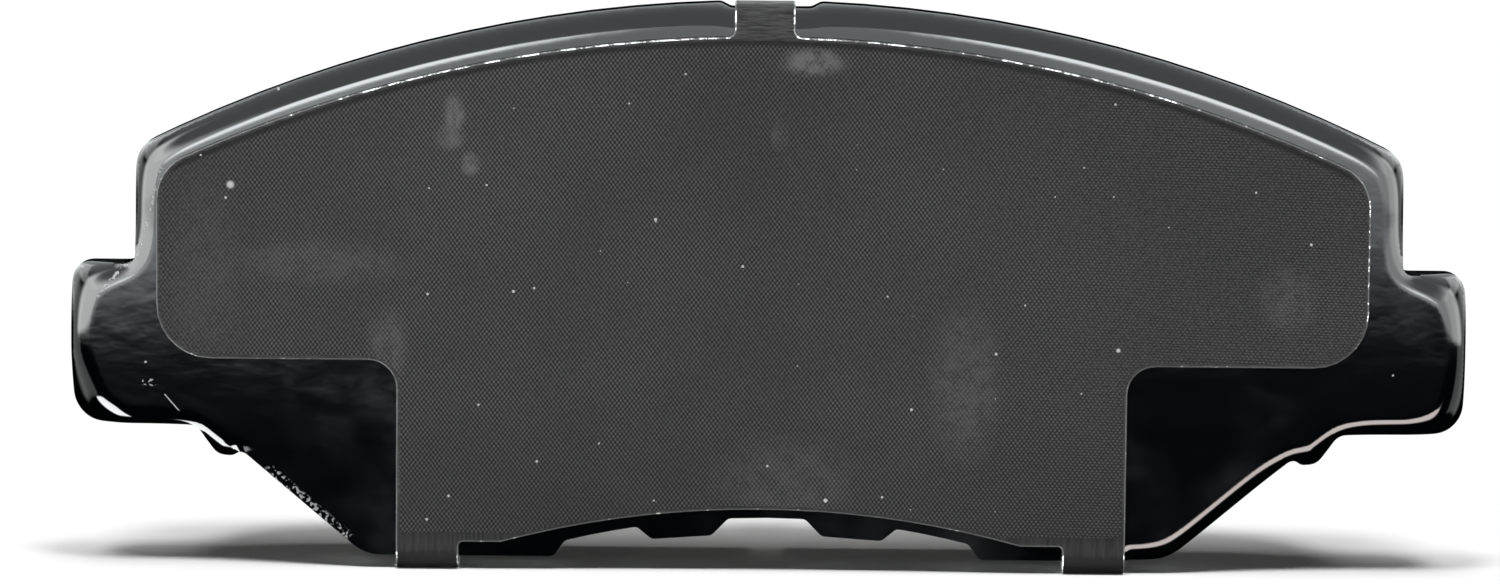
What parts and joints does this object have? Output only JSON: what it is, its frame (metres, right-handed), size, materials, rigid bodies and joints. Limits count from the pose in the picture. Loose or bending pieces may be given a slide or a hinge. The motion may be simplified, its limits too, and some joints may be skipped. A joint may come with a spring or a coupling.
{
  "type": "disc brake pad",
  "caption": "Disc brake pad: punched steel backing plate with two ears, bonded lining with a centre slot, and a clip-on layered noise shim with bent tabs.",
  "frame": {"origin": "middle of the pad's footprint in X and Y, at the height of its lowest point, the underside of the shim's two lower tabs", "axes": "+X along the pad's length, +Y from the shim towards the friction face (towards the disc), +Z from the pad's inner edge towards its outer arc"},
  "size_m": [0.1492, 0.0176, 0.0609],
  "materials": {
    "plate_paint": "gloss black paint on steel",
    "underlayer": "matt pressed resin and fibre mix",
    "friction_lining": "matt ground friction compound with metal flecks",
    "shim_adhesive": "matt pressure-sensitive film",
    "shim_inner_rubber": "matt black rubber coating",
    "shim_steel": "satin dark coating with bare sheared edges",
    "shim_outer_rubber": "matt charcoal rubber with a fine woven texture"
  },
  "bodies": {
    "root": {"backing_plate": "plate_paint", "underlayer": "underlayer", "friction_block_left": "friction_lining", "friction_block_right": "friction_lining", "shim_adhesive_film": "shim_adhesive", "shim_inner_rubber": "shim_inner_rubber", "shim_steel_core": "shim_steel", "shim_outer_rubber": "shim_outer_rubber"}
  },
  "joints": []
}
